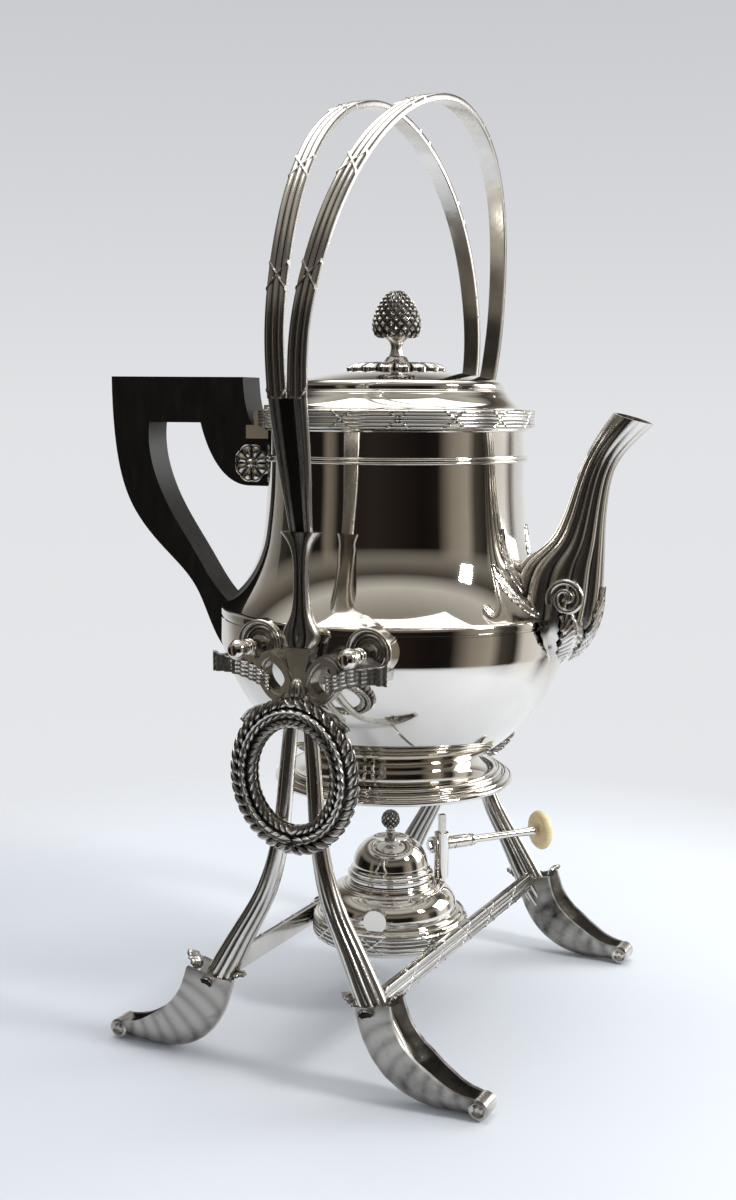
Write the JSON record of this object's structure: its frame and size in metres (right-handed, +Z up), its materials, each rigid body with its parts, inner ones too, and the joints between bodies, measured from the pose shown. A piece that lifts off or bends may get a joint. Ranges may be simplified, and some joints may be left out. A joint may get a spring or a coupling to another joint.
{
  "type": "samovar",
  "caption": "Silver tilting kettle with spout and black side handle, hung on trunnions in an arched stand over a spirit lamp with a wick regulator and snuffer.",
  "frame": {"origin": "on the floor, below the middle of the overall length and width", "axes": "+X from the handle towards the spout, +Z up, +Y to the left of the pourer's view along the spout"},
  "size_m": [0.2762, 0.208, 0.42],
  "materials": {
    "silver": "polished silver, tarnished dark in the recesses",
    "ebony": "satin polished ebony",
    "bone": "smooth cream bone",
    "cotton": "woven cotton wick"
  },
  "bodies": {
    "stand": {"column_left": "silver", "column_right": "silver", "bow_left": "silver", "bow_right": "silver", "wreath_left": "silver", "wreath_right": "silver", "leg_front_left": "silver", "leg_front_right": "silver", "leg_rear_left": "silver", "leg_rear_right": "silver", "foot_front_left": "silver", "foot_front_right": "silver", "foot_rear_left": "silver", "foot_rear_right": "silver", "stretcher_front": "silver", "stretcher_rear": "silver", "lamp_ring": "silver", "arch_strap_front": "silver", "arch_strap_rear": "silver", "arch_root_left": "silver", "arch_root_right": "silver"},
    "kettle": {"kettle_body": "silver", "kettle_bowl": "silver", "kettle_rim": "silver", "neck_ring": "silver", "kettle_foot": "silver", "spout": "silver", "handle": "ebony", "handle_studs": "silver", "handle_rosettes": "silver", "hinge_bracket": "silver", "hinge_pin": "silver", "trunnion_bosses": "silver", "trunnion_pins": "silver"},
    "lid": {"lid_dome": "silver", "lid_hinge_leaf": "silver", "lid_rosette": "silver", "lid_finial": "silver", "finial_nut": "silver"},
    "lamp": {"lamp_reservoir": "silver", "filler_plug": "silver", "burner_collar": "silver", "wick_tube": "silver", "regulator_post": "silver"},
    "wick_lift": {"rack_rod": "silver", "wick_carrier": "silver", "wick": "cotton"},
    "regulator_key": {"regulator_spindle": "silver", "pinion": "silver", "spindle_nut": "silver", "spindle_socket": "silver", "bone_disc": "bone", "disc_cap": "silver"},
    "snuffer": {"snuffer_cap": "silver", "snuffer_finial": "silver"}
  },
  "joints": [
    {"name": "kettle_tilt", "type": "hinge", "parent": "stand", "child": "kettle", "pos_m": [0.04255, 0, 0.1826], "axis": [0, 1, 0], "range_deg": [0, 40]},
    {"name": "lid_hinge", "type": "hinge", "parent": "kettle", "child": "lid", "pos_m": [-0.05205, 0, 0.279], "axis": [0, -1, 0], "range_deg": [0, 65]},
    {"name": "lamp_lift", "type": "slide", "parent": "stand", "child": "lamp", "axis": [0, 0, 1], "range_m": [0, 0.005]},
    {"name": "snuffer_lift", "type": "slide", "parent": "lamp", "child": "snuffer", "axis": [0, 0, 1], "range_m": [0, 0.01]},
    {"name": "regulator_turn", "type": "hinge", "parent": "lamp", "child": "regulator_key", "pos_m": [0.01495, 0, 0.0726], "axis": [-0.6101, -0.7923, 0], "range_deg": [0, 172.5]},
    {"name": "wick_raise", "type": "slide", "parent": "lamp", "child": "wick_lift", "axis": [0, 0, 1], "range_m": [0, 0.006]}
  ],
  "couplings": [
    {"joint": "regulator_turn", "follows": "wick_raise", "rad_per_m": 500}
  ]
}
